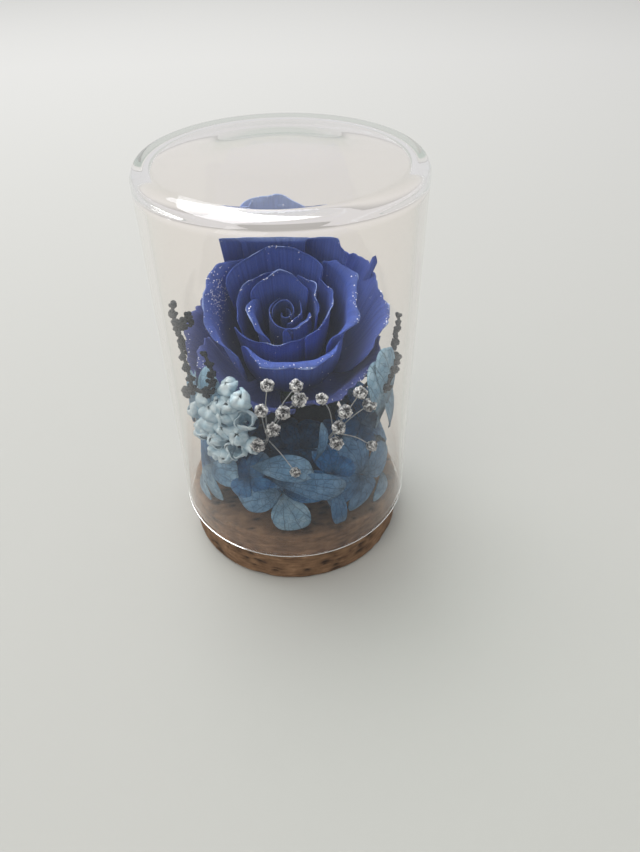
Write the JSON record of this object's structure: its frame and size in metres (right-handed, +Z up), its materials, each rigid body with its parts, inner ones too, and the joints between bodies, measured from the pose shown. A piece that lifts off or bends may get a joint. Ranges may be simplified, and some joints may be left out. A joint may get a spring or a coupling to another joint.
{
  "type": "preserved rose in a bottle",
  "caption": "Preserved blue rose in a clear glass bottle pushed over a cork base, ringed with dusty blue hydrangea and sprays of small dried flowers.",
  "frame": {"origin": "centre of the cork stopper's flat underside, on the surface that the object stands on", "axes": "+Z up along the bottle's axis; the front, towards which the rose leans, is -Y; +X is to the right seen from the front"},
  "size_m": [0.065, 0.065, 0.108],
  "materials": {
    "glass": "clear polished",
    "cork": "natural cork with dark pores",
    "foam": "matt dry floral foam",
    "rose": "matt velvety preserved petal",
    "rose_stem": "matt green",
    "hydrangea": "matt dusty blue petal with fine veins",
    "pale_flower": "matt pale blue",
    "gypsophila": "crinkled silvery white",
    "dark_flower": "matt blue black"
  },
  "bodies": {
    "root": {"glass_bottle": "glass", "cork_stopper": "cork", "foam_block": "foam", "rose_bloom": "rose", "rose_stem": "rose_stem", "hydrangea_front": "hydrangea", "hydrangea_left": "hydrangea", "hydrangea_right": "hydrangea", "hydrangea_back": "hydrangea", "pale_spray": "pale_flower", "gypsophila_left": "gypsophila", "gypsophila_right": "gypsophila", "dark_spray_left": "dark_flower", "dark_spray_right": "dark_flower"}
  },
  "joints": []
}
